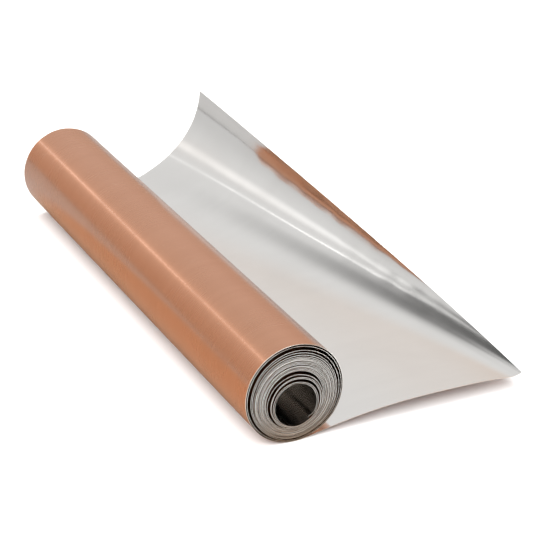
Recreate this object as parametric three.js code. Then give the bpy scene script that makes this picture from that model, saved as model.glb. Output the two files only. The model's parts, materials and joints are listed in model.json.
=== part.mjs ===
// A roll of thin two-tone metal foil, copper-coloured outside and silver inside, partly unrolled.
// Millimetres and degrees. +Y runs along the roll's axis, +X is the way the strip unrolls, +Z is up.
// The roll lies on z = 0. Its strip leaves it at the bottom, silver side up, and ends in a cut edge
// whose far half curls up. Each turn of the strip is a node of its own, so turns can slide past
// each other as they do on a coil with no core and no adhesive between its turns.
import * as THREE from 'three';

// ---- The strip ----
const STRIP_WIDTH = 300;        // along the roll's axis
const FOIL = 0.15;              // thickness of the metal

// ---- The roll ----
const ROLL_DIAMETER = 49;       // over the outermost turn
const TURNS = 21.89;            // from where the strip leaves the roll to its inner cut end
const PITCH = 0.327;            // advance per turn on the side where the turns lie closest
const WRAP_TURNS = 2;           // outermost turns, which lie close together as an outer wrap
const FIRST_OPEN = 0.35;        // extra gap all round under the outermost turn
const SPRUNG_OPEN = 0.7;        // extra gap all round under the outer wrap, which has sprung open
const EVEN_SLACK = 0.3;         // extra gap that every turn has over the axis: the coil sags
// Turns that stand looser than the rest. TURN counts from outside, GAP is the widest opening, and
// TIGHT is the direction in which there is none, in degrees from straight down towards -X.
const LOOSE_TURNS = [
  { turn: 2, gap: 0.5, tight: -40 },
  { turn: 3.2, gap: 0.8, tight: 25 },
  { turn: 4.6, gap: 0.6, tight: 0 },
  { turn: 17.5, gap: 1.9, tight: -25 },
  { turn: 20.3, gap: 1.3, tight: 0 },
];

// ---- The laid-out sheet ----
const LAID_NEAR = 120.9;        // laid-out length along the edge at -Y
const LAID_FAR = 111.8;         // and along the edge at +Y: the end is cut a little out of square
const WRAP_OUT = 11;            // the strip follows the roll this far past its lowest line
const ARCH_END = 84;            // where the rise away from the roll has levelled out
const DIP = 7.75;               // fall of the near edge past that place, in degrees
const DIP_REACH = 40;           // length over which it falls
const CURL_FULL = 180;          // angle that the curl would reach at its full length
const CURL_SHORT_NEAR = 9.95;   // on the near edge it begins this far short of the cut end
const CURL_REACH_NEAR = 35.2;   // its full length there, of which only the first part is laid out
const CURL_START_FAR = 4.7;     // on the far edge it begins this far past the roll's lowest line
const CURL_REACH_FAR = 220.3;   // its full length there

// ---- Where the strip is divided into nodes ----
const WEB_LENGTH = 19;          // the stretch that gives when the roll travels
const CORNER_SHARE = 0.2;       // share of the curl's reach that stays with the laid sheet
const CUT_GAP = 0.3;            // between nodes that follow each other along the strip
const COIL_TURNS = 5;           // turns in the part of the roll that turns inside its outer wrap
const MIDDLE_TURNS = 10;        // turns in the part that slides out around the core turns

// ---- Fineness of the meshes ----
const TURN_STEP = 10;           // degrees
const WEB_COLUMNS = 5;
const SHEET_COLUMNS = 12;
const SHEET_ROWS = 12;

// ---- Derived ----
const ROLL_RADIUS = ROLL_DIAMETER / 2;
const NEAR_Y = -STRIP_WIDTH / 2;
const FAR_Y = STRIP_WIDTH / 2;
const WRAP_LENGTH = THREE.MathUtils.degToRad(WRAP_OUT) * ROLL_RADIUS;
const COPPER = { color: 0xc98e68, roughness: 0.32, metalness: 0.9 };
const SILVER = { color: 0xc9c7c4, roughness: 0.18, metalness: 0.95 };

/** 0 below 0, 1 above 1, and a smooth rise between. */
const rise = (x) => THREE.MathUtils.smoothstep(x, 0, 1);

/** Radius and centre of the strip's mid-surface, n turns in from where it leaves the roll. */
function turnCircle(n) {
  let radius = ROLL_RADIUS - FOIL / 2 - (PITCH + EVEN_SLACK / 2) * n;
  if (n > 1) radius -= FIRST_OPEN;
  if (n > WRAP_TURNS) radius -= SPRUNG_OPEN;
  const centre = new THREE.Vector2(0, ROLL_RADIUS - (EVEN_SLACK / 2) * n);
  for (const { turn, gap, tight } of LOOSE_TURNS) {
    const shift = (gap / 2) * rise(n - turn + 0.5);
    const angle = THREE.MathUtils.degToRad(tight);
    radius -= shift;
    centre.x -= shift * Math.sin(angle);
    centre.y -= shift * Math.cos(angle);
  }
  return { radius, centre };
}

/** A point of the roll's strip and its silver-side normal, n turns in, at height y on the axis. */
function onRoll(n, y) {
  const { radius, centre } = turnCircle(n);
  const angle = 2 * Math.PI * n;
  const inward = new THREE.Vector3(Math.sin(angle), 0, Math.cos(angle));
  const mid = new THREE.Vector3(centre.x, y, centre.y).addScaledVector(inward, -radius);
  return { mid, normal: inward };
}

/**
 * How far along the strip, on the line y, the curl begins and what its full length is. Both change
 * evenly across the strip, so the curl is part of a cone that narrows towards the near corner.
 */
function curlAt(y) {
  const across = (y - NEAR_Y) / STRIP_WIDTH;
  return {
    start: THREE.MathUtils.lerp(LAID_NEAR - CURL_SHORT_NEAR, CURL_START_FAR, across),
    reach: THREE.MathUtils.lerp(CURL_REACH_NEAR, CURL_REACH_FAR, across),
  };
}

/** The sheet's slope, in radians, at a distance s from the roll's lowest line. */
function slope(s, y) {
  const { start, reach } = curlAt(y);
  const across = (y - NEAR_Y) / STRIP_WIDTH;
  const lift = WRAP_OUT * Math.min(s / WRAP_LENGTH, 1);
  const arch = lift * (1 - rise((s - WRAP_LENGTH) / (ARCH_END - WRAP_LENGTH)));
  const dip = DIP * rise((s - ARCH_END) / DIP_REACH) * (1 - across);
  return THREE.MathUtils.degToRad(arch - dip + CURL_FULL * rise((s - start) / reach));
}

/** The laid-out length on the line y. */
const laidLength = (y) => THREE.MathUtils.mapLinear(y, NEAR_Y, FAR_Y, LAID_NEAR, LAID_FAR);

/** Where the raised corner is divided from the laid sheet, on the line y. */
function cornerStart(y) {
  const { start, reach } = curlAt(y);
  return start + CORNER_SHARE * reach;
}

/** A point of the laid-out sheet and its silver-side normal: the slope summed from s = 0. */
function onSheet(s, y) {
  const steps = Math.max(1, Math.ceil(s));
  const ds = s / steps;
  const mid = new THREE.Vector3(0, y, FOIL / 2);
  for (let i = 0; i < steps; i++) {
    const angle = slope((i + 0.5) * ds, y);
    mid.x += Math.cos(angle) * ds;
    mid.z += Math.sin(angle) * ds;
  }
  const angle = slope(s, y);
  return { mid, normal: new THREE.Vector3(-Math.sin(angle), 0, Math.cos(angle)) };
}

/**
 * A closed sheet of foil. The grid holds {mid, normal} for each column, in the strip's direction,
 * and each row, towards +Y. Half the foil's thickness goes to each side.
 */
function foilGeometry(grid) {
  const columns = grid.length;
  const rows = grid[0].length;
  const positions = [];
  for (const side of [1, -1]) {
    for (const column of grid) {
      for (const { mid, normal } of column) {
        const p = mid.clone().addScaledVector(normal, (side * FOIL) / 2);
        positions.push(p.x, p.y, p.z);
      }
    }
  }
  const silver = (i, j) => i * rows + j;
  const copper = (i, j) => (columns + i) * rows + j;
  const index = [];
  const quad = (a, b, c, d) => index.push(a, b, c, a, c, d);
  for (let i = 0; i + 1 < columns; i++) {
    for (let j = 0; j + 1 < rows; j++) {
      quad(silver(i, j), silver(i + 1, j), silver(i + 1, j + 1), silver(i, j + 1));
      quad(copper(i, j), copper(i, j + 1), copper(i + 1, j + 1), copper(i + 1, j));
    }
    const last = rows - 1;
    quad(copper(i, 0), copper(i + 1, 0), silver(i + 1, 0), silver(i, 0));
    quad(silver(i, last), silver(i + 1, last), copper(i + 1, last), copper(i, last));
  }
  for (let j = 0; j + 1 < rows; j++) {
    const last = columns - 1;
    quad(copper(0, j + 1), copper(0, j), silver(0, j), silver(0, j + 1));
    quad(copper(last, j), copper(last, j + 1), silver(last, j + 1), silver(last, j));
  }
  const geometry = new THREE.BufferGeometry();
  geometry.setAttribute('position', new THREE.Float32BufferAttribute(positions, 3));
  geometry.setIndex(index);
  geometry.computeVertexNormals();
  return geometry;
}

/** A named mesh with its finish. */
function foilMesh(name, grid, finish) {
  const mesh = new THREE.Mesh(foilGeometry(grid), new THREE.MeshStandardMaterial(finish));
  mesh.name = name;
  return mesh;
}

/** The turns at which a stretch of the roll has its columns, from its inner end to its outer end. */
function columnTurns(outer, inner) {
  const step = TURN_STEP / 360;
  const turns = [outer];
  for (let k = Math.floor(outer / step) + 1; k * step < inner; k++) turns.push(k * step);
  turns.push(inner);
  return turns.filter((n, i) => i === 0 || n - turns[i - 1] > step / 20).reverse();
}

/** One turn of the strip as a node, from `outer` to `inner` turns in. */
function turnMesh(number, outer, inner) {
  const halfGap = (n) => CUT_GAP / 2 / (2 * Math.PI * turnCircle(n).radius);
  const turns = columnTurns(outer + halfGap(outer), inner - halfGap(inner));
  const grid = turns.map((n) => [NEAR_Y, FAR_Y].map((y) => onRoll(n, y)));
  return foilMesh(`turn_${String(number).padStart(2, '0')}`, grid, COPPER);
}

/** A stretch of the laid-out sheet as a node, between two distances that may depend on y. */
function sheetMesh(name, from, to, columns) {
  const grid = [];
  for (let i = 0; i <= columns; i++) {
    const column = [];
    for (let j = 0; j <= SHEET_ROWS; j++) {
      const y = THREE.MathUtils.lerp(NEAR_Y, FAR_Y, j / SHEET_ROWS);
      column.push(onSheet(THREE.MathUtils.lerp(from(y), to(y), i / columns), y));
    }
    grid.push(column);
  }
  return foilMesh(name, grid, SILVER);
}

/** The web, the laid sheet and the raised corner. */
function laidOut() {
  const group = new THREE.Group();
  const webEnd = WRAP_LENGTH + WEB_LENGTH;
  group.add(
    sheetMesh('lead_out_web', () => WRAP_LENGTH + CUT_GAP / 2, () => webEnd - CUT_GAP / 2, WEB_COLUMNS),
    sheetMesh('laid_sheet', () => webEnd + CUT_GAP / 2, (y) => cornerStart(y) - CUT_GAP / 2, SHEET_COLUMNS),
    sheetMesh('raised_corner', (y) => cornerStart(y) + CUT_GAP / 2, laidLength, SHEET_COLUMNS),
  );
  return group;
}

/** The turns numbered first to last, counted from outside. The outermost runs on to the web. */
function turnGroup(first, last) {
  const group = new THREE.Group();
  for (let number = first; number <= last; number++) {
    const outer = number === 1 ? -WRAP_OUT / 360 : number - 1;
    group.add(turnMesh(number, outer, Math.min(number, TURNS)));
  }
  return group;
}

/** The roll: the outer wrap, the coil that turns in it, and the parts that slide out of that. */
function roll() {
  const group = new THREE.Group();
  const coilLast = WRAP_TURNS + COIL_TURNS;
  const middleLast = coilLast + MIDDLE_TURNS;
  group.add(
    turnGroup(1, WRAP_TURNS),
    turnGroup(WRAP_TURNS + 1, coilLast),
    turnGroup(coilLast + 1, middleLast),
    turnGroup(middleLast + 1, Math.ceil(TURNS)),
  );
  return group;
}

const foilRoll = new THREE.Group();
foilRoll.add(laidOut(), roll());
// The origin is on the surface that the roll lies on, under the middle of the whole part.
const footprint = new THREE.Box3().setFromObject(foilRoll);
foilRoll.position.x = -footprint.getCenter(new THREE.Vector3()).x;

export default foilRoll;
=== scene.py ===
"""A partly unrolled roll of thin two-tone foil, copper-coloured outside and silver inside.

The strip is one piece of metal. Its visible surfaces are built here as fine grids, one for each
stretch that moves as a piece: the outer wrap, the coil in it, the middle turns, the core turns, the
web that leads off the roll, and the laid-out sheet with its raised corner.
"""
import json
import logging
import math
from dataclasses import dataclass, field
from enum import Enum

import bpy
import numpy as np
from mathutils import Matrix, Vector


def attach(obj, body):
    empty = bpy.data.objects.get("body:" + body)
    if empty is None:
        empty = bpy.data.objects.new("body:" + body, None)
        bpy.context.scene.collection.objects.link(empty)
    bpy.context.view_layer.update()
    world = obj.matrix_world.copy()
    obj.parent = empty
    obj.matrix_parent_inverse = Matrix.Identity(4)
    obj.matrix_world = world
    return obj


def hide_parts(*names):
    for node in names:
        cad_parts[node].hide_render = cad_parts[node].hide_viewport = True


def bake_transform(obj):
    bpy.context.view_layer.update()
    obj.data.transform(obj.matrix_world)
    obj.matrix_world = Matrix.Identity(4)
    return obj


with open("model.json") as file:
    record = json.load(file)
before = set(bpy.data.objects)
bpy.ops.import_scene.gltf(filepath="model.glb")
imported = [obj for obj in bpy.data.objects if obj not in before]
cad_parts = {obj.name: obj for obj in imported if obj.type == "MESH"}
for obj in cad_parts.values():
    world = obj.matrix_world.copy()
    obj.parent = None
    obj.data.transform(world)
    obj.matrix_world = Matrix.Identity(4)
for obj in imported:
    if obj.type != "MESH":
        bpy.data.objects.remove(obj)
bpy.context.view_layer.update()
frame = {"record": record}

logging.basicConfig(level=logging.INFO, format="%(message)s")
LOG = logging.getLogger("foil_roll")

MM = 0.001
MAX_BOUNCES = 16
GLOSSY_BOUNCES = 14

Span = tuple[float, float]
Wave = tuple[float, float, float]


# ---------------------------------------------------------------- the strip's shape


def rise(x: np.ndarray) -> np.ndarray:
    """A smooth step: 0 below 0, 1 above 1, and 3x^2 - 2x^3 between.

    Args:
        x: where on the step.

    Returns:
        The height of the step there.
    """
    x = np.clip(x, 0.0, 1.0)
    return x * x * (3.0 - 2.0 * x)


def mix(a: float, b: float, t: np.ndarray) -> np.ndarray:
    """The value a share t of the way from a to b."""
    return a + (b - a) * t


def waves(at: np.ndarray, terms: tuple[Wave, ...]) -> np.ndarray:
    """A sum of sines, each given by its rate, its phase in radians and its height."""
    return sum(size * np.sin(rate * at + phase) for rate, phase, size in terms)


@dataclass(frozen=True)
class LooseTurn:
    """A turn that stands off the one outside it. Angles are from straight down towards -X."""

    turn: float
    gap: float
    tight: float


@dataclass(frozen=True)
class Strip:
    """The foil strip: its sizes in millimetres and degrees, and where each point of it lies."""

    width: float = 300.0
    foil: float = 0.15
    roll_diameter: float = 49.0
    turns: float = 21.89
    pitch: float = 0.327
    wrap_turns: float = 2.0
    coil_turns: float = 5.0
    middle_turns: float = 10.0
    first_open: float = 0.35
    sprung_open: float = 0.7
    spring_away: float = 0.12
    end_lift: float = 0.9
    end_lift_turn: float = 0.06
    even_slack: float = 0.3
    loose_turns: tuple[LooseTurn, ...] = (
        LooseTurn(2.0, 0.5, -40.0),
        LooseTurn(3.2, 0.8, 25.0),
        LooseTurn(4.6, 0.6, 0.0),
        LooseTurn(17.5, 1.9, -25.0),
        LooseTurn(20.3, 1.3, 0.0),
    )
    laid_near: float = 120.9
    laid_far: float = 111.8
    wrap_out: float = 11.0
    arch_end: float = 84.0
    dip: float = 7.75
    dip_reach: float = 40.0
    curl_full: float = 180.0
    curl_start_near: float = 110.95
    curl_reach_near: float = 35.2
    curl_start_far: float = 4.7
    curl_reach_far: float = 220.3
    web_length: float = 19.0
    roll_x: float = field(default_factory=lambda: frame_roll_x() / MM)

    @property
    def roll_radius(self) -> float:
        """Outside radius of the roll."""
        return self.roll_diameter / 2

    @property
    def wrap_length(self) -> float:
        """Length of the strip between the roll's lowest line and the place where it leaves it."""
        return math.radians(self.wrap_out) * self.roll_radius

    def circle(self, n: np.ndarray) -> tuple[np.ndarray, np.ndarray, np.ndarray]:
        """The circle that the strip follows n turns in: an even inward spiral, plus loose turns.

        The radius falls by the pitch and half the slack for each turn, and the centre sinks by half
        the slack. Each loose turn takes half its gap off the radius and moves the centre by as much
        towards its tight side, in a smooth step one turn long. Past the outermost turn and past the
        outer wrap the strip springs away from them over a share of a turn, and its inner cut end
        lifts off the turn around it.

        Args:
            n: turns in from where the strip leaves the roll.

        Returns:
            Radius, and X and Z of the centre from the roll's lowest line.
        """
        radius = self.roll_radius - self.foil / 2 - (self.pitch + self.even_slack / 2) * n
        radius = radius - self.first_open * rise((n - 1.0) / self.spring_away)
        radius = radius - self.sprung_open * rise((n - self.wrap_turns) / self.spring_away)
        radius = radius - self.end_lift * rise((n - self.turns) / self.end_lift_turn + 1.0)
        x = np.zeros_like(n)
        z = self.roll_radius - self.even_slack / 2 * n
        for loose in self.loose_turns:
            shift = loose.gap / 2 * rise(n - loose.turn + 0.5)
            radius = radius - shift
            x = x - shift * math.sin(math.radians(loose.tight))
            z = z - shift * math.cos(math.radians(loose.tight))
        return radius, x, z

    def on_roll(self, n: np.ndarray, y: np.ndarray) -> tuple[np.ndarray, np.ndarray]:
        """Points of the strip's mid-surface in the roll, and the way its silver side faces there.

        A point lies a radius out from its circle's centre, at an angle of one full turn for each
        unit of n from straight down. The silver side faces the centre.

        Args:
            n: turns in, a grid.
            y: place along the roll's axis, a grid of the same shape.

        Returns:
            Points and unit normals, each with a last axis of 3.
        """
        radius, x, z = self.circle(n)
        angle = 2 * np.pi * n
        inward = np.stack([np.sin(angle), np.zeros_like(angle), np.cos(angle)], axis=-1)
        centre = np.stack([x + self.roll_x, y, z], axis=-1)
        return centre - radius[..., None] * inward, inward

    def across(self, y: np.ndarray) -> np.ndarray:
        """Share of the width, 0 on the near edge and 1 on the far edge."""
        return y / self.width + 0.5

    def slope(self, s: np.ndarray, y: np.ndarray) -> np.ndarray:
        """The laid-out sheet's slope in radians, at a distance s from the roll's lowest line.

        It is the sum of a rise off the roll that levels out, a slight fall of the near edge, and a
        smooth curl whose start and length change evenly from the near edge to the far edge.

        Args:
            s: distance along the strip.
            y: place along the roll's axis.

        Returns:
            The slope at each point.
        """
        across = self.across(y)
        lift = self.wrap_out * np.minimum(s / self.wrap_length, 1.0)
        arch = lift * (1 - rise((s - self.wrap_length) / (self.arch_end - self.wrap_length)))
        dip = self.dip * rise((s - self.arch_end) / self.dip_reach) * (1 - across)
        start = mix(self.curl_start_near, self.curl_start_far, across)
        reach = mix(self.curl_reach_near, self.curl_reach_far, across)
        return np.radians(arch - dip + self.curl_full * rise((s - start) / reach))

    def laid_length(self, y: np.ndarray) -> np.ndarray:
        """Length of the laid-out end on the line y."""
        return mix(self.laid_near, self.laid_far, self.across(y))

    def on_sheet(self, s: np.ndarray, y: np.ndarray, steps: int = 160) -> np.ndarray:
        """Points of the laid-out end's mid-surface: the slope's cosine and sine summed along s.

        Args:
            s: distance from the roll's lowest line, a grid.
            y: place along the roll's axis, a grid of the same shape.
            steps: how many parts each sum has.

        Returns:
            The points, with a last axis of 3.
        """
        share = (np.arange(steps) + 0.5) / steps
        angle = self.slope(s[..., None] * share, y[..., None])
        length = s / steps
        x = np.cos(angle).sum(axis=-1) * length + self.roll_x
        z = np.sin(angle).sum(axis=-1) * length + self.foil / 2
        return np.stack([x, y, z], axis=-1)

    def wound_length(self, n: np.ndarray, samples: int = 4000) -> np.ndarray:
        """Length of strip between the roll's lowest line and n turns in, by the trapezoid rule.

        Args:
            n: turns in.
            samples: how many radii are summed.

        Returns:
            The length at each n.
        """
        fine = np.linspace(-1.0, self.turns + 1.0, samples)
        radius = self.circle(fine)[0]
        parts = np.pi * (radius[1:] + radius[:-1]) * np.diff(fine)
        total = np.concatenate([[0.0], np.cumsum(parts)])
        return np.interp(n, fine, total - np.interp(0.0, fine, total))


def frame_roll_x() -> float:
    """X of the roll's axis, from the joint that the roll turns on.

    Returns:
        The place in metres.
    """
    for joint in frame["record"]["behaviour"]["joints"]:
        if joint["name"] == "roll_turn":
            return joint["pos_m"][0]
    raise KeyError("roll_turn")


# ---------------------------------------------------------------- surfaces


class Face(Enum):
    """The three kinds of surface on the foil, by material slot."""

    COPPER = 0
    SILVER = 1
    EDGE = 2


def grid_normals(points: np.ndarray) -> np.ndarray:
    """Unit normals of a grid of points: columns' direction crossed with rows' direction.

    Args:
        points: columns x rows x 3.

    Returns:
        Normals of the same shape, on the silver side.
    """
    along = np.gradient(points, axis=0)
    over = np.gradient(points, axis=1)
    normal = np.cross(along, over)
    return normal / np.linalg.norm(normal, axis=-1, keepdims=True)


@dataclass
class FoilShell:
    """A stretch of foil as a closed shell, from a grid of its mid-surface.

    The grid's columns follow the strip towards its free end and its rows go towards +Y. Half the
    foil's thickness goes to each side, and a ring of narrow faces closes the cut edges.
    """

    name: str
    mid: np.ndarray
    normal: np.ndarray
    along: np.ndarray
    across: np.ndarray
    foil: float

    def vertices(self) -> np.ndarray:
        """The mid-surface moved half the foil along its normal, and as far against it.

        Returns:
            Points in metres, the silver side's first and then the copper side's.
        """
        half = self.normal * (self.foil / 2)
        both = np.stack([self.mid + half, self.mid - half])
        return both.reshape(-1, 3) * MM

    def faces(self) -> tuple[np.ndarray, np.ndarray]:
        """Quads of both sides and of the cut edges, with the kind of surface of each.

        Returns:
            Corner numbers, four to a face, and the value of Face for each.
        """
        columns, rows = self.mid.shape[:2]
        silver = np.arange(columns * rows).reshape(columns, rows)
        copper = silver + columns * rows
        sides = [
            (Face.SILVER, silver[:-1, :-1], silver[1:, :-1], silver[1:, 1:], silver[:-1, 1:]),
            (Face.COPPER, copper[:-1, :-1], copper[:-1, 1:], copper[1:, 1:], copper[1:, :-1]),
            (Face.EDGE, copper[:-1, 0], copper[1:, 0], silver[1:, 0], silver[:-1, 0]),
            (Face.EDGE, silver[:-1, -1], silver[1:, -1], copper[1:, -1], copper[:-1, -1]),
            (Face.EDGE, copper[0, 1:], copper[0, :-1], silver[0, :-1], silver[0, 1:]),
            (Face.EDGE, copper[-1, :-1], copper[-1, 1:], silver[-1, 1:], silver[-1, :-1]),
        ]
        quads = [np.stack([c.ravel() for c in corners], axis=-1) for _, *corners in sides]
        kinds = [np.full(len(q), side[0].value) for q, side in zip(quads, sides)]
        return np.concatenate(quads), np.concatenate(kinds)

    def build(self, finishes: dict[Face, bpy.types.Material]) -> bpy.types.Object:
        """Makes the object, with its place in its mesh and the strip's own measures as its UV map.

        Args:
            finishes: the material for each kind of surface.

        Returns:
            The new object, linked to the scene.
        """
        vertices = self.vertices()
        quads, kinds = self.faces()
        mesh = bpy.data.meshes.new(self.name)
        mesh.vertices.add(len(vertices))
        mesh.vertices.foreach_set("co", vertices.astype(np.float32).ravel())
        mesh.loops.add(quads.size)
        mesh.loops.foreach_set("vertex_index", quads.astype(np.int32).ravel())
        mesh.polygons.add(len(quads))
        mesh.polygons.foreach_set("loop_start", np.arange(0, quads.size, 4, dtype=np.int32))
        mesh.update(calc_edges=True)
        for face in Face:
            mesh.materials.append(finishes[face])
        mesh.polygons.foreach_set("material_index", kinds.astype(np.int32))
        mesh.polygons.foreach_set("use_smooth", np.ones(len(quads), dtype=bool))
        strip_uv = np.stack([self.along, self.across], axis=-1).reshape(-1, 2) * MM
        strip_uv = np.concatenate([strip_uv, strip_uv])
        layer = mesh.uv_layers.new(name="strip")
        layer.data.foreach_set("uv", strip_uv[quads.ravel()].astype(np.float32).ravel())
        self.sharpen_cut_edges(mesh)
        mesh.validate()
        obj = bpy.data.objects.new(self.name, mesh)
        bpy.context.scene.collection.objects.link(obj)
        return obj

    def sharpen_cut_edges(self, mesh: bpy.types.Mesh) -> None:
        """Keeps the faces' smooth shading apart from the narrow cut edges.

        Args:
            mesh: the shell's mesh, whose vertices are in the order of vertices().
        """
        rim = np.ones(self.mid.shape[:2], dtype=bool)
        rim[1:-1, 1:-1] = False
        rim = np.concatenate([rim.ravel(), rim.ravel()])
        ends = np.zeros(len(mesh.edges) * 2, dtype=np.int32)
        mesh.edges.foreach_get("vertices", ends)
        sharp = rim[ends].reshape(-1, 2).all(axis=1)
        attribute = mesh.attributes.new("sharp_edge", "BOOLEAN", "EDGE")
        attribute.data.foreach_set("value", sharp)


@dataclass
class RollPart:
    """A stretch of the roll that moves as one: some whole turns of the strip."""

    name: str
    body: str
    outer: float
    inner: float
    columns_per_turn: int
    rows: int
    strip: Strip
    edge_stray: float = 0.22
    push: float = 0.0
    push_turns: float = 0.5
    fade_turns: float = 0.6
    stray_waves: tuple[Wave, ...] = ((2.39, 0.0, 1.0), (5.3, 1.0, 0.6))
    ripple: float = 0.05
    ripple_reach: float = 16.0
    ripple_waves: tuple[Wave, ...] = ((5.0, 0.8, 1.0), (8.0, 2.1, 0.6))

    def nodes(self) -> list[str]:
        """The CAD turns that this part stands for."""
        first = math.floor(self.outer + 1.001)
        return [f"turn_{k:02d}" for k in range(max(first, 1), math.ceil(self.inner) + 1)]

    def surface(self) -> FoilShell:
        """The mid-surface: the spiral, with edges that stray a little and a faint ripple.

        Rows lie closer together near both ends, by a cosine. Each turn's edge strays along the axis
        by a sum of two slow sines of n, and the part is pushed along the axis by up to `push`, which
        grows over its first half turn. The radius has a faint ripple of 5 and 8 waves round the roll
        that fades away from the ends and is the same on every turn, so turns stay apart.

        Returns:
            The shell, ready to build.
        """
        strip = self.strip
        columns = max(2, round((self.inner - self.outer) * self.columns_per_turn)) + 1
        turns = np.linspace(self.inner, self.outer, columns)
        share = (1 - np.cos(np.linspace(0, np.pi, self.rows + 1))) / 2
        n, t = np.meshgrid(turns, share, indexing="ij")
        level = (t - 0.5) * strip.width
        fade = rise(n / self.fade_turns)
        stray = self.edge_stray * fade * waves(n, self.stray_waves)
        pushed = self.push * rise((n - self.outer) / self.push_turns)
        y = level + stray * (2 * t - 1) ** 2 + pushed
        mid, normal = strip.on_roll(n, y)
        angle = 2 * np.pi * n
        end = np.exp(-(strip.width / 2 - np.abs(level)) / self.ripple_reach)
        wave = waves(angle, self.ripple_waves)
        mid = mid - normal * (self.ripple * fade * end * wave)[..., None]
        along = -strip.wound_length(n)
        return FoilShell(self.name, mid, normal, along, level, strip.foil)

    def build(self, finishes: dict[Face, bpy.types.Material]) -> bpy.types.Object:
        """Builds and dresses the turns and hangs them on their body.

        Args:
            finishes: the material for each kind of surface.

        Returns:
            The new object.
        """
        obj = self.surface().build(finishes)
        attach(obj, self.body)
        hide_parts(*self.nodes())
        return obj


@dataclass
class LeadOutWeb:
    """The stretch between the roll and the laid sheet."""

    strip: Strip
    columns: int = 40
    rows: int = 120

    def build(self, finishes: dict[Face, bpy.types.Material]) -> bpy.types.Object:
        """Builds the web along the strip, from the roll's last contact to the laid sheet.

        Args:
            finishes: the material for each kind of surface.

        Returns:
            The new object.
        """
        strip = self.strip
        first = strip.wrap_length
        last = first + strip.web_length
        s, y = np.meshgrid(
            np.linspace(first, last, self.columns + 1),
            np.linspace(-strip.width / 2, strip.width / 2, self.rows + 1),
            indexing="ij",
        )
        mid = strip.on_sheet(s, y)
        shell = FoilShell("lead_out", mid, grid_normals(mid), s, y, strip.foil)
        obj = shell.build(finishes)
        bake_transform(obj)
        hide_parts("lead_out_web")
        return obj


@dataclass
class FoilSheet:
    """The laid-out end of the strip: flat by the roll, with its far corner curled up."""

    strip: Strip
    columns: int = 176
    rows: int = 272
    wave: float = 0.04
    wave_lengths: tuple[float, float, float] = (18.3, 31.0, 5.2)
    wave_near: Span = (0.2, 0.2)
    wave_far: Span = (0.95, 0.25)
    lip: float = 0.38
    edge_start: float = 0.84
    edge_reach: float = 0.16
    uneven: float = 0.012
    settle_reach: float = 12.0
    bend_before: float = 10.0
    bend_after: float = 16.0

    def surface(self) -> FoilShell:
        """The curl's surface, with a waved and slightly rolled-over free edge.

        Along the normal it adds waves of about 18 and 31 mm over the last sixth of the length, with
        a fine ripple of 5 mm across them, and a lip that rises with the square of the distance. Both
        fade out towards the near edge and the far edge, over a start and a reach that are shares of
        the width. A faint unevenness of about 94 by 119 mm lies all over.

        Returns:
            The shell, ready to build.
        """
        strip = self.strip
        share = np.linspace(0.0, 1.0, self.columns + 1)
        level = np.linspace(-strip.width / 2, strip.width / 2, self.rows + 1)
        t, y = np.meshgrid(share, level, indexing="ij")
        first = strip.wrap_length + strip.web_length
        length = strip.laid_length(y)
        s = mix(first, length, t)
        mid = strip.on_sheet(s, y)
        normal = grid_normals(mid)
        across = strip.across(y)
        past = np.maximum((s / length - self.edge_start) / self.edge_reach, 0.0)
        from_near = rise((across - self.wave_near[0]) / self.wave_near[1])
        curled = from_near * rise((self.wave_far[0] - across) / self.wave_far[1])
        short, long, fine = self.wave_lengths
        edge_wave = np.sin(2 * np.pi * (y / short + s / 60.0) + 1.4 * np.sin(y / 31.0))
        edge_wave = edge_wave + 0.8 * np.sin(2 * np.pi * (y / long - s / 40.0) + 0.7)
        edge_wave = edge_wave + 0.5 * np.sin(2 * np.pi * (s / fine + y / 60.0))
        settle = rise((s - first) / self.settle_reach)
        uneven = self.uneven * np.sin(s / 15.0 + 0.6) * np.sin(y / 19.0 + 1.1)
        offset = (self.wave * rise(past) * edge_wave + self.lip * past**2) * curled + uneven * settle
        mid = mid + normal * offset[..., None]
        return FoilShell("foil_sheet", mid, grid_normals(mid), s, y, strip.foil)

    def build(self, finishes: dict[Face, bpy.types.Material]) -> bpy.types.Object:
        """Builds the sheet, and works out the line that the corner lifts about and the way square to it,
        which nothing then uses.

        Args:
            finishes: the material for each kind of surface.

        Returns:
            The new object.
        """
        obj = self.surface().build(finishes)
        joint = next(j for j in frame["record"]["behaviour"]["joints"] if j["name"] == "corner_lift")
        axis = Vector(joint["axis"]).normalized()
        over = Vector((0, 0, 1)).cross(axis).normalized()
        if over.x < 0:
            over.negate()
        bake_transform(obj)
        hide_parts("laid_sheet", "raised_corner")
        return obj


# ---------------------------------------------------------------- finishes


Colour = tuple[float, float, float, float]
Socket = bpy.types.NodeSocket


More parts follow.
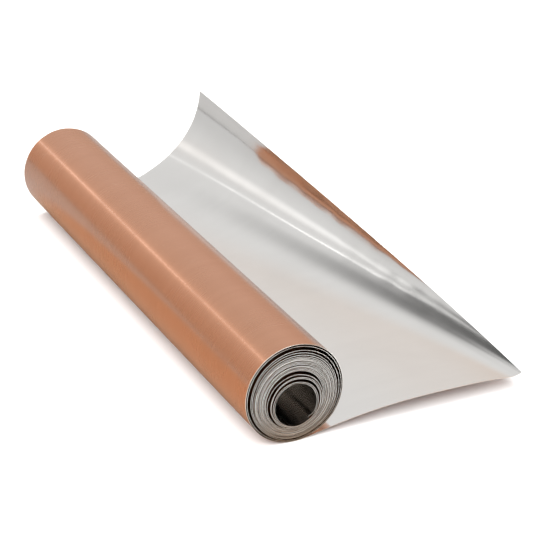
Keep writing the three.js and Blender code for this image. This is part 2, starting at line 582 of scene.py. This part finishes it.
class Graph:
    """A node tree with short ways to add nodes and join them."""

    def __init__(self, tree: bpy.types.NodeTree) -> None:
        """Takes the tree to fill.

        Args:
            tree: a material's, a world's or a group's node tree.
        """
        self.tree = tree

    def node(self, kind: str, inputs: dict | None = None, **settings: object) -> bpy.types.Node:
        """Adds a node.

        Args:
            kind: the node's type name.
            inputs: a value or another node's output socket for each named or numbered input.
            settings: attributes of the node itself.

        Returns:
            The new node.
        """
        node = self.tree.nodes.new(kind)
        for key, value in settings.items():
            setattr(node, key, value)
        for key, value in (inputs or {}).items():
            if isinstance(value, bpy.types.NodeSocket):
                self.tree.links.new(value, node.inputs[key])
            else:
                node.inputs[key].default_value = value
        return node

    def math(self, operation: str, a: object, b: object = 0.0, clamp: bool = False) -> Socket:
        """A Math node's output, for an operation on one or two values or sockets."""
        node = self.node("ShaderNodeMath", {0: a, 1: b}, operation=operation, use_clamp=clamp)
        return node.outputs[0]

    def range(
        self, value: object, low: float, high: float, to_low: float = 0.0, to_high: float = 1.0
    ) -> Socket:
        """A smooth Map Range from low..high to to_low..to_high."""
        spread = {"Value": value, "From Min": low, "From Max": high, "To Min": to_low, "To Max": to_high}
        return self.node("ShaderNodeMapRange", spread, interpolation_type="SMOOTHSTEP").outputs[0]

    def noise(self, vector: Socket, scale: object, detail: float, **more: float) -> Socket:
        """A Noise Texture's value, with more of its inputs by name."""
        inputs = {"Vector": vector, "Scale": scale, "Detail": detail, **more}
        return self.node("ShaderNodeTexNoise", inputs).outputs[0]

    def blend_colour(self, share: object, a: object, b: object) -> Socket:
        """The colour a share of the way from a to b.

        Args:
            share: how far, a value or a socket.
            a: the colour at 0.
            b: the colour at 1.

        Returns:
            The Mix node's colour.
        """
        node = self.node("ShaderNodeMix", data_type="RGBA")
        for index, value in ((0, share), (6, a), (7, b)):
            if isinstance(value, bpy.types.NodeSocket):
                self.tree.links.new(value, node.inputs[index])
            else:
                node.inputs[index].default_value = value
        return node.outputs[2]


def new_group(
    name: str, inputs: dict[str, float], outputs: tuple[str, ...]
) -> tuple[Graph, bpy.types.Node, bpy.types.Node]:
    """Starts a shader node group with number sockets and a vector input for the strip's measures.

    Args:
        name: the group's name.
        inputs: each number input and its default.
        outputs: the number outputs.

    Returns:
        The group's graph, its input node and its output node.
    """
    tree = bpy.data.node_groups.new(name, "ShaderNodeTree")
    tree.interface.new_socket("Strip", in_out="INPUT", socket_type="NodeSocketVector")
    for label, value in inputs.items():
        socket = tree.interface.new_socket(label, in_out="INPUT", socket_type="NodeSocketFloat")
        socket.default_value = value
    for label in outputs:
        tree.interface.new_socket(label, in_out="OUTPUT", socket_type="NodeSocketFloat")
    graph = Graph(tree)
    return graph, graph.node("NodeGroupInput"), graph.node("NodeGroupOutput")


def rolling_grain() -> bpy.types.NodeTree:
    """The lines that the rolling mill leaves along the strip: noise drawn out along it.

    Returns:
        A group that gives fine Grain and broader Streaks, both 0 to 1.
    """
    graph, given, out = new_group("rolling_grain", {"Fineness": 2500.0}, ("Grain", "Streaks"))
    drawn = graph.node(
        "ShaderNodeVectorMath", {0: given.outputs["Strip"], 1: (0.035, 1.0, 1.0)}, operation="MULTIPLY"
    )
    fine = graph.noise(drawn.outputs[0], given.outputs["Fineness"], 3.0, Roughness=0.6)
    broad_scale = graph.math("MULTIPLY", given.outputs["Fineness"], 0.06)
    broad = graph.noise(drawn.outputs[0], broad_scale, 4.0, Roughness=0.65)
    graph.tree.links.new(fine, out.inputs["Grain"])
    graph.tree.links.new(broad, out.inputs["Streaks"])
    return graph.tree


def handling_marks() -> bpy.types.NodeTree:
    """Hairline scratches in two directions and faint smudges from handling.

    A scratch is where drawn-out noise passes through its middle value, in places that a second
    noise picks.

    Returns:
        A group that gives Scratches and Smudges, both 0 to 1.
    """
    graph, given, out = new_group("handling_marks", {"Amount": 0.5}, ("Scratches", "Smudges"))
    lines = []
    for turn, stretch in ((0.35, (40.0, 900.0, 1.0)), (1.9, (60.0, 700.0, 1.0))):
        turned = graph.node(
            "ShaderNodeMapping", {"Vector": given.outputs["Strip"], "Rotation": (0.0, 0.0, turn)}
        )
        drawn = graph.node("ShaderNodeVectorMath", {0: turned.outputs[0], 1: stretch}, operation="MULTIPLY")
        noise = graph.noise(drawn.outputs[0], 1.0, 1.0)
        off_middle = graph.math("ABSOLUTE", graph.math("SUBTRACT", noise, 0.5))
        lines.append(graph.range(off_middle, 0.0, 0.006, 1.0, 0.0))
    patches = graph.noise(given.outputs["Strip"], 55.0, 2.0)
    picked = graph.range(patches, 0.52, 0.68)
    either = graph.math("MAXIMUM", lines[0], lines[1])
    shown = graph.math("MULTIPLY", either, picked)
    scratches = graph.math("MULTIPLY", shown, given.outputs["Amount"], clamp=True)
    smudge = graph.noise(given.outputs["Strip"], 24.0, 3.0, Distortion=0.8)
    smudges = graph.range(smudge, 0.4, 0.72)
    graph.tree.links.new(scratches, out.inputs["Scratches"])
    graph.tree.links.new(smudges, out.inputs["Smudges"])
    return graph.tree


def crinkle() -> bpy.types.NodeTree:
    """The unevenness of thin foil: fine orange peel, and larger soft dents.

    Returns:
        A group that gives a Height in metres.
    """
    graph, given, out = new_group("crinkle", {"Peel": 2e-6, "Dents": 2e-5}, ("Height",))
    peel = graph.noise(given.outputs["Strip"], 900.0, 2.0)
    dents = graph.noise(given.outputs["Strip"], 70.0, 2.0, Roughness=0.4, Distortion=0.5)
    height = graph.math(
        "ADD",
        graph.math("MULTIPLY", peel, given.outputs["Peel"]),
        graph.math("MULTIPLY", dents, given.outputs["Dents"]),
    )
    graph.tree.links.new(height, out.inputs["Height"])
    return graph.tree


def rim_wear() -> bpy.types.NodeTree:
    """Wear beside the strip's two long cut edges, a little ragged.

    Returns:
        A group that gives Wear, 1 at the edges and 0 inside.
    """
    graph, given, out = new_group("rim_wear", {"Half Width": 0.15, "Reach": 0.0008}, ("Wear",))
    parts = graph.node("ShaderNodeSeparateXYZ", {0: given.outputs["Strip"]})
    off_middle = graph.math("ABSOLUTE", parts.outputs["Y"])
    inside = graph.math("SUBTRACT", given.outputs["Half Width"], off_middle)
    ragged = graph.noise(given.outputs["Strip"], 600.0, 2.0)
    share = graph.math("DIVIDE", inside, given.outputs["Reach"])
    torn = graph.math("ADD", share, graph.math("SUBTRACT", ragged, 0.5))
    graph.tree.links.new(graph.range(torn, 0.2, 1.0, 1.0, 0.0), out.inputs["Wear"])
    return graph.tree


class Effects:
    """The node groups that several finishes share, each built once."""

    def __init__(self) -> None:
        """Builds every group."""
        self.grain = rolling_grain()
        self.marks = handling_marks()
        self.crinkle = crinkle()
        self.wear = rim_wear()

    def place(
        self, graph: Graph, group: bpy.types.NodeTree, strip: Socket, **values: float
    ) -> bpy.types.Node:
        """Puts a group into a material.

        Args:
            graph: the material's graph.
            group: the node group.
            strip: the socket with the strip's measures.
            values: numbers for its inputs, with _ for a space in a name.

        Returns:
            The group's node.
        """
        node = graph.node("ShaderNodeGroup", node_tree=group)
        graph.tree.links.new(strip, node.inputs["Strip"])
        for label, value in values.items():
            node.inputs[label.replace("_", " ")].default_value = value
        return node


@dataclass(frozen=True)
class FoilFinish:
    """A rolled metal face: its colours, its gloss, and how strong each mark on it is."""

    name: str
    colour: Colour
    streak_colour: Colour
    smudge_colour: Colour
    wear_colour: Colour
    roughness: float
    roughness_spread: float
    smudge_share: float
    smudge_roughness: float
    grain_depth: float
    peel: float
    dents: float
    scratch_amount: float
    coat: float
    coat_roughness: float

    def build(self, effects: Effects) -> bpy.types.Material:
        """Builds the material on the strip's own measures.

        Args:
            effects: the shared node groups.

        Returns:
            The material.
        """
        material = bpy.data.materials.new(self.name)
        material.use_nodes = True
        graph = Graph(material.node_tree)
        shader = material.node_tree.nodes["Principled BSDF"]
        strip = graph.node("ShaderNodeUVMap", uv_map="strip").outputs[0]
        grain = effects.place(graph, effects.grain, strip)
        marks = effects.place(graph, effects.marks, strip, Amount=self.scratch_amount)
        uneven = effects.place(graph, effects.crinkle, strip, Peel=self.peel, Dents=self.dents)
        wear = effects.place(graph, effects.wear, strip)
        streaks = graph.range(grain.outputs["Streaks"], 0.3, 0.7)
        colour = graph.blend_colour(streaks, self.colour, self.streak_colour)
        smudges = graph.math("MULTIPLY", marks.outputs["Smudges"], self.smudge_share)
        colour = graph.blend_colour(smudges, colour, self.smudge_colour)
        worn = graph.math("MAXIMUM", wear.outputs["Wear"], marks.outputs["Scratches"])
        colour = graph.blend_colour(worn, colour, self.wear_colour)
        graph.tree.links.new(colour, shader.inputs["Base Color"])
        rough = graph.math("MULTIPLY", grain.outputs["Grain"], self.roughness_spread)
        rough = graph.math("ADD", rough, self.roughness - self.roughness_spread / 2)
        dulled = graph.math("MULTIPLY", marks.outputs["Smudges"], self.smudge_roughness)
        rough = graph.math("ADD", rough, dulled)
        graph.tree.links.new(rough, shader.inputs["Roughness"])
        height = graph.math("MULTIPLY", grain.outputs["Grain"], self.grain_depth)
        height = graph.math("ADD", height, uneven.outputs["Height"])
        bump = graph.node("ShaderNodeBump", {"Strength": 1.0, "Distance": 1.0, "Height": height})
        graph.tree.links.new(bump.outputs[0], shader.inputs["Normal"])
        shader.inputs["Metallic"].default_value = 1.0
        shader.inputs["Coat Weight"].default_value = self.coat
        shader.inputs["Coat Roughness"].default_value = self.coat_roughness
        shader.inputs["Coat IOR"].default_value = 1.5
        return material


COPPER = FoilFinish(
    name="copper_lacquer",
    colour=(0.640, 0.324, 0.198, 1.0),
    streak_colour=(0.616, 0.306, 0.184, 1.0),
    smudge_colour=(0.606, 0.299, 0.180, 1.0),
    wear_colour=(0.72, 0.46, 0.32, 1.0),
    roughness=0.25,
    roughness_spread=0.10,
    smudge_share=0.5,
    smudge_roughness=0.04,
    grain_depth=8e-7,
    peel=1.0e-6,
    dents=5e-6,
    scratch_amount=0.35,
    coat=0.4,
    coat_roughness=0.10,
)
SILVER = FoilFinish(
    name="bright_silver",
    colour=(0.812, 0.803, 0.792, 1.0),
    streak_colour=(0.798, 0.789, 0.778, 1.0),
    smudge_colour=(0.775, 0.765, 0.754, 1.0),
    wear_colour=(0.87, 0.86, 0.84, 1.0),
    roughness=0.10,
    roughness_spread=0.05,
    smudge_share=0.5,
    smudge_roughness=0.04,
    grain_depth=6e-7,
    peel=5.0e-6,
    dents=2.5e-6,
    scratch_amount=0.3,
    coat=0.0,
    coat_roughness=0.03,
)


@dataclass(frozen=True)
class CutEdge:
    """The bare metal where the strip was slit: bright, with dull stretches and fine burrs."""

    name: str = "slit_edge"
    bright: Colour = (0.94, 0.92, 0.89, 1.0)
    dull: Colour = (0.50, 0.44, 0.40, 1.0)
    roughness: float = 0.34
    dull_roughness: float = 0.2
    burrs: float = 2e-5

    def build(self, effects: Effects) -> bpy.types.Material:
        """Builds the material.

        Args:
            effects: the shared node groups.

        Returns:
            The material.
        """
        material = bpy.data.materials.new(self.name)
        material.use_nodes = True
        graph = Graph(material.node_tree)
        shader = material.node_tree.nodes["Principled BSDF"]
        strip = graph.node("ShaderNodeUVMap", uv_map="strip").outputs[0]
        drift = graph.noise(strip, 38.0, 5.0, Roughness=0.7)
        dull = graph.range(drift, 0.50, 0.70)
        colour = graph.blend_colour(dull, self.bright, self.dull)
        graph.tree.links.new(colour, shader.inputs["Base Color"])
        rough = graph.math("MULTIPLY", dull, self.dull_roughness)
        rough = graph.math("ADD", rough, self.roughness)
        graph.tree.links.new(rough, shader.inputs["Roughness"])
        burrs = effects.place(graph, effects.crinkle, strip, Peel=self.burrs, Dents=self.burrs)
        height = burrs.outputs["Height"]
        bump = graph.node("ShaderNodeBump", {"Strength": 1.0, "Distance": 1.0, "Height": height})
        graph.tree.links.new(bump.outputs[0], shader.inputs["Normal"])
        shader.inputs["Metallic"].default_value = 1.0
        return material


# ---------------------------------------------------------------- the studio


@dataclass(frozen=True)
class Lamp:
    """A soft rectangular lamp, placed by compass bearing and height as seen from a point.

    Bearing is from +Y towards +X and height is above the horizon, both in degrees. Sizes are in
    metres, and brightness is the radiance of its face.
    """

    name: str
    bearing: float
    height: float
    distance: float
    width: float
    depth: float
    brightness: float
    turn: float = 0.0
    in_reflections: bool = True
    aim: tuple[float, float, float] = (0.02, 0.0, 0.02)

    def build(self) -> bpy.types.Object:
        """Makes the lamp, facing the point that it is placed from.

        Returns:
            The light object.
        """
        data = bpy.data.lights.new(self.name, "AREA")
        data.shape = "RECTANGLE"
        data.size, data.size_y = self.width, self.depth
        data.energy = self.brightness * math.pi * self.width * self.depth
        lamp = bpy.data.objects.new(self.name, data)
        bearing, height = math.radians(self.bearing), math.radians(self.height)
        away = Vector(
            (math.sin(bearing) * math.cos(height), math.cos(bearing) * math.cos(height), math.sin(height))
        )
        lamp.rotation_mode = "QUATERNION"
        facing = away.to_track_quat("Z", "Y").to_matrix()
        turned = Matrix.Rotation(math.radians(self.turn), 3, away) @ facing
        lamp.rotation_quaternion = turned.to_quaternion()
        lamp.location = Vector(self.aim) + away * self.distance
        lamp.visible_glossy = self.in_reflections
        lamp.visible_camera = False
        bpy.context.scene.collection.objects.link(lamp)
        return lamp


@dataclass(frozen=True)
class Surround:
    """The room: pale, warmer and dimmer low down, with a dark flag and a bright arc above the roll.

    Bearings and heights are in degrees, and a pair of them is where a change starts and ends. The
    arc is a thin tube whose height falls away with the square of the distance from its top, by
    `arc_fall` to the left and to the right, and which glows more to the left. The flag lies above
    it. Its lower edge falls away to the left with the square of the distance, and softens from left
    to right, and its upper edge falls evenly to the right. A soft bright band lies below the arc.
    """

    low: float = 0.69
    high: float = 0.85
    zenith: float = 2.0
    room_heights: Span = (2.0, 30.0)
    zenith_heights: Span = (62.0, 76.0)
    warm: Colour = (1.0, 0.74, 0.56, 1.0)
    pale: Colour = (1.0, 0.995, 0.985, 1.0)
    warm_left: Span = (-47.0, -37.0)
    warm_right: Span = (40.0, 80.0)
    warm_heights: Span = (-2.0, 40.0)
    flag: float = 0.17
    flag_bottom: float = 47.2
    flag_shoulder: float = -24.0
    flag_fall: float = 0.0195
    flag_soft: Span = (1.2, 8.5)
    flag_softens: Span = (-52.0, 15.0)
    flag_top: float = 55.0
    flag_top_soft: float = 2.0
    flag_top_fall: float = 0.28
    flag_top_shoulder: float = -6.0
    flag_left: float = -72.0
    flag_left_soft: float = 8.0
    flag_fade: Span = (-6.0, 30.0)
    arc_top: Span = (-37.5, 42.0)
    arc_fall: Span = (0.033, 0.106)
    arc_line: Span = (0.3, 1.3)
    arc_left: Span = (-55.0, -50.0)
    arc_right: Span = (-36.0, -27.0)
    arc_glow: Span = (1.35, 0.9)
    arc_dims: Span = (-50.0, -37.0)
    band: Span = (-45.5, 31.5)
    band_reach: Span = (9.0, 5.5)
    band_soft: float = 4.0
    band_glow: float = 0.33

    def build(self) -> None:
        """Fills the world's node tree from the bearing and the height of each direction."""
        world = bpy.data.worlds.new("surround")
        bpy.context.scene.world = world
        world.use_nodes = True
        graph = Graph(world.node_tree)
        background = world.node_tree.nodes["Background"]
        way = graph.node("ShaderNodeTexCoord").outputs["Generated"]
        parts = graph.node("ShaderNodeSeparateXYZ", {0: way}).outputs
        to_degrees = 180 / math.pi
        bearing = graph.math("MULTIPLY", graph.math("ARCTAN2", parts["X"], parts["Y"]), to_degrees)
        height = graph.math("MULTIPLY", graph.math("ARCSINE", parts["Z"]), to_degrees)
        room = graph.range(height, *self.room_heights, self.low, self.high)
        above = graph.range(height, *self.zenith_heights, 0.0, self.zenith - self.high)
        room = graph.math("ADD", room, above)
        flag = self.flag_share(graph, bearing, height)
        shade = graph.math("SUBTRACT", 1.0, graph.math("MULTIPLY", flag, 1.0 - self.flag))
        light = graph.math("MULTIPLY", room, shade)
        glow = graph.range(bearing, *self.arc_dims, *self.arc_glow)
        arc = graph.math("MULTIPLY", self.arc_share(graph, bearing, height), glow)
        band = graph.math("MULTIPLY", self.band_share(graph, bearing, height), self.band_glow)
        light = graph.math("ADD", light, graph.math("ADD", arc, band))
        graph.tree.links.new(light, background.inputs["Strength"])
        from_left = graph.range(bearing, *self.warm_left)
        to_right = graph.range(bearing, *self.warm_right, 1.0, 0.0)
        aside = graph.math("MULTIPLY", from_left, to_right)
        warmth = graph.math("MULTIPLY", aside, graph.range(height, *self.warm_heights, 1.0, 0.0))
        tint = graph.blend_colour(warmth, self.pale, self.warm)
        graph.tree.links.new(tint, background.inputs["Color"])

    def flag_share(self, graph: Graph, bearing: Socket, height: Socket) -> Socket:
        """How much of the dark flag lies in a direction.

        Args:
            graph: the world's graph.
            bearing: the direction's bearing.
            height: its height.

        Returns:
            0 outside the flag and 1 in it.
        """
        past_left = graph.math("MAXIMUM", graph.math("SUBTRACT", self.flag_shoulder, bearing), 0.0)
        fall = graph.math("MULTIPLY", graph.math("MULTIPLY", past_left, past_left), self.flag_fall)
        soft = graph.range(bearing, *self.flag_softens, *self.flag_soft)
        above = graph.math("SUBTRACT", graph.math("ADD", height, fall), self.flag_bottom)
        bottom = graph.range(graph.math("DIVIDE", above, soft), -1.0, 1.0)
        slant = graph.math("MAXIMUM", graph.math("SUBTRACT", bearing, self.flag_top_shoulder), 0.0)
        lowered = graph.math("ADD", height, graph.math("MULTIPLY", slant, self.flag_top_fall))
        top_from, top_to = self.flag_top - self.flag_top_soft, self.flag_top + self.flag_top_soft
        top = graph.range(lowered, top_from, top_to, 1.0, 0.0)
        left_from, left_to = self.flag_left - self.flag_left_soft, self.flag_left + self.flag_left_soft
        left = graph.range(bearing, left_from, left_to)
        right = graph.range(bearing, *self.flag_fade, 1.0, 0.0)
        between = graph.math("MULTIPLY", bottom, top)
        return graph.math("MULTIPLY", between, graph.math("MULTIPLY", left, right))

    def arc_share(self, graph: Graph, bearing: Socket, height: Socket) -> Socket:
        """How much of the bright arc lies in a direction.

        Args:
            graph: the world's graph.
            bearing: the direction's bearing.
            height: its height.

        Returns:
            0 off the arc and 1 on it.
        """
        aside = graph.math("SUBTRACT", bearing, self.arc_top[0])
        fall = graph.math("MULTIPLY", graph.math("MULTIPLY", aside, aside), self.arc_fall[0])
        to_right = graph.math("MAXIMUM", aside, 0.0)
        squared = graph.math("MULTIPLY", to_right, to_right)
        steeper = graph.math("MULTIPLY", squared, self.arc_fall[1] - self.arc_fall[0])
        level = graph.math("SUBTRACT", steeper, self.arc_top[1])
        off = graph.math("ADD", graph.math("ADD", height, fall), level)
        line = graph.range(graph.math("ABSOLUTE", off), *self.arc_line, 1.0, 0.0)
        left = graph.range(bearing, *self.arc_left)
        right = graph.range(bearing, *self.arc_right, 1.0, 0.0)
        return graph.math("MULTIPLY", line, graph.math("MULTIPLY", left, right))

    def band_share(self, graph: Graph, bearing: Socket, height: Socket) -> Socket:
        """How much of the soft bright band below the arc lies in a direction.

        Args:
            graph: the world's graph.
            bearing: the direction's bearing.
            height: its height.

        Returns:
            0 off the band and 1 in its middle.
        """
        aside = graph.math("ABSOLUTE", graph.math("SUBTRACT", bearing, self.band[0]))
        off = graph.math("ABSOLUTE", graph.math("SUBTRACT", height, self.band[1]))
        across = graph.range(off, 0.0, self.band_reach[1], 1.0, 0.0)
        reach = self.band_reach[0]
        along = graph.range(aside, reach - self.band_soft, reach, 1.0, 0.0)
        return graph.math("MULTIPLY", across, along)


@dataclass(frozen=True)
class Floor:
    """A plain pale floor.

    In reflections it is dimmer, warmer beside the copper roll with painted bounce light from the
    copper, and brighter before its near end with a painted pool of light. A pair of numbers is where
    a change starts and ends, in metres.
    """

    half: float = 4.0
    seen: Colour = (0.96, 0.96, 0.96, 1.0)
    reflected: Colour = (0.345, 0.341, 0.337, 1.0)
    painted_copper_bounce: Colour = (0.37, 0.264, 0.184, 1.0)
    painted_light_before_end: Colour = (0.80, 0.785, 0.765, 1.0)
    glow_middle: float = -0.1
    glow_reach: Span = (0.12, 0.24)
    glow_near: Span = (-0.19, -0.15)
    glow_far: Span = (0.13, 0.2)
    end_reach: Span = (-0.21, -0.16)

    def build(self) -> bpy.types.Object:
        """Makes the floor.

        Returns:
            The floor object.
        """
        mesh = bpy.data.meshes.new("floor")
        ends = (-self.half, self.half)
        mesh.from_pydata([(x, y, 0) for x in ends for y in ends], [], [(0, 2, 3, 1)])
        material = bpy.data.materials.new("pale_floor")
        material.use_nodes = True
        graph = Graph(material.node_tree)
        shader = material.node_tree.nodes["Principled BSDF"]
        place = graph.node("ShaderNodeTexCoord").outputs["Object"]
        parts = graph.node("ShaderNodeSeparateXYZ", {0: place}).outputs
        # Painted warm bounce light from the copper roll, on the floor as reflections see it.
        aside = graph.math("ABSOLUTE", graph.math("SUBTRACT", parts["X"], self.glow_middle))
        beside = graph.range(aside, *self.glow_reach, 1.0, 0.0)
        past_near = graph.range(parts["Y"], *self.glow_near)
        before_far = graph.range(parts["Y"], *self.glow_far, 1.0, 0.0)
        glow = graph.math("MULTIPLY", beside, graph.math("MULTIPLY", past_near, before_far))
        # Painted pool of light before the roll's near end, on the floor as reflections see it.
        front = graph.range(parts["Y"], *self.end_reach, 1.0, 0.0)
        plain = graph.blend_colour(front, self.reflected, self.painted_light_before_end)
        bounced = graph.blend_colour(glow, plain, self.painted_copper_bounce)
        eye = graph.node("ShaderNodeLightPath").outputs["Is Camera Ray"]
        graph.tree.links.new(graph.blend_colour(eye, bounced, self.seen), shader.inputs["Base Color"])
        shader.inputs["Roughness"].default_value = 0.9
        shader.inputs["Specular IOR Level"].default_value = 0.0
        mesh.materials.append(material)
        floor = bpy.data.objects.new("floor", mesh)
        bpy.context.scene.collection.objects.link(floor)
        return floor


@dataclass(frozen=True)
class Camera:
    """The camera, by bearing, height and distance from the point it looks at (metres, degrees)."""

    azimuth: float = -25.5
    elevation: float = 24.91
    distance: float = 1.05484
    target: tuple[float, float, float] = (0.02091, 0.01498, 0.0)
    lens: float = 129.07
    sensor: float = 36.0
    clip: Span = (0.05, 50.0)

    def build(self) -> bpy.types.Object:
        """Makes the camera and gives it to the scene.

        Returns:
            The camera object.
        """
        data = bpy.data.cameras.new("camera")
        data.lens, data.sensor_width = self.lens, self.sensor
        data.clip_start, data.clip_end = self.clip
        camera = bpy.data.objects.new("camera", data)
        a, e = math.radians(self.azimuth), math.radians(self.elevation)
        back = Vector((math.sin(a) * math.cos(e), -math.cos(a) * math.cos(e), math.sin(e)))
        camera.location = Vector(self.target) + back * self.distance
        camera.rotation_mode = "QUATERNION"
        camera.rotation_quaternion = (-back).to_track_quat("-Z", "Y")
        bpy.context.scene.collection.objects.link(camera)
        bpy.context.scene.camera = camera
        return camera


LAMPS = (
    Lamp(
        "line_strip",
        bearing=-20.0,
        height=25.3,
        distance=6.0,
        width=2.0,
        depth=0.17,
        brightness=2.3,
        turn=45.0,
    ),
    Lamp(
        "overhead",
        bearing=-60.0,
        height=78.0,
        distance=2.0,
        width=2.4,
        depth=2.4,
        brightness=2.2,
        in_reflections=False,
    ),
    Lamp(
        "front_fill",
        bearing=-150.0,
        height=35.0,
        distance=2.0,
        width=2.0,
        depth=1.2,
        brightness=5.0,
        in_reflections=False,
    ),
)


def studio() -> None:
    """Builds the camera, the floor, the room and the lamps."""
    scene = bpy.context.scene
    scene.view_settings.view_transform = "Standard"
    scene.view_settings.look = "None"
    scene.cycles.max_bounces = MAX_BOUNCES
    scene.cycles.glossy_bounces = GLOSSY_BOUNCES
    Camera().build()
    Floor().build()
    Surround().build()
    for lamp in LAMPS:
        lamp.build()


def main() -> None:
    """Builds the studio and the foil, piece by piece, and reports each piece."""
    studio()
    effects = Effects()
    finishes = {
        Face.COPPER: COPPER.build(effects),
        Face.SILVER: SILVER.build(effects),
        Face.EDGE: CutEdge().build(effects),
    }
    strip = Strip()
    wrap_start = -strip.wrap_out / 360
    coil_start = strip.wrap_turns
    middle_start = coil_start + strip.coil_turns
    core_start = middle_start + strip.middle_turns
    parts = (
        RollPart("outer_turns", "outer_wrap", wrap_start, coil_start, 200, 60, strip, edge_stray=0.1),
        RollPart("coil_turns", "coil", coil_start, middle_start, 120, 22, strip, push=-0.5),
        RollPart("middle_turns", "middle", middle_start, core_start, 100, 18, strip, push=-0.3),
        RollPart("core_turns", "core", core_start, strip.turns, 110, 30, strip, push=-0.8),
        LeadOutWeb(strip),
        FoilSheet(strip),
    )
    for part in parts:
        piece = part.build(finishes)
        LOG.info("%s: %d faces", piece.name, len(piece.data.polygons))


if __name__ == "__main__":
    main()
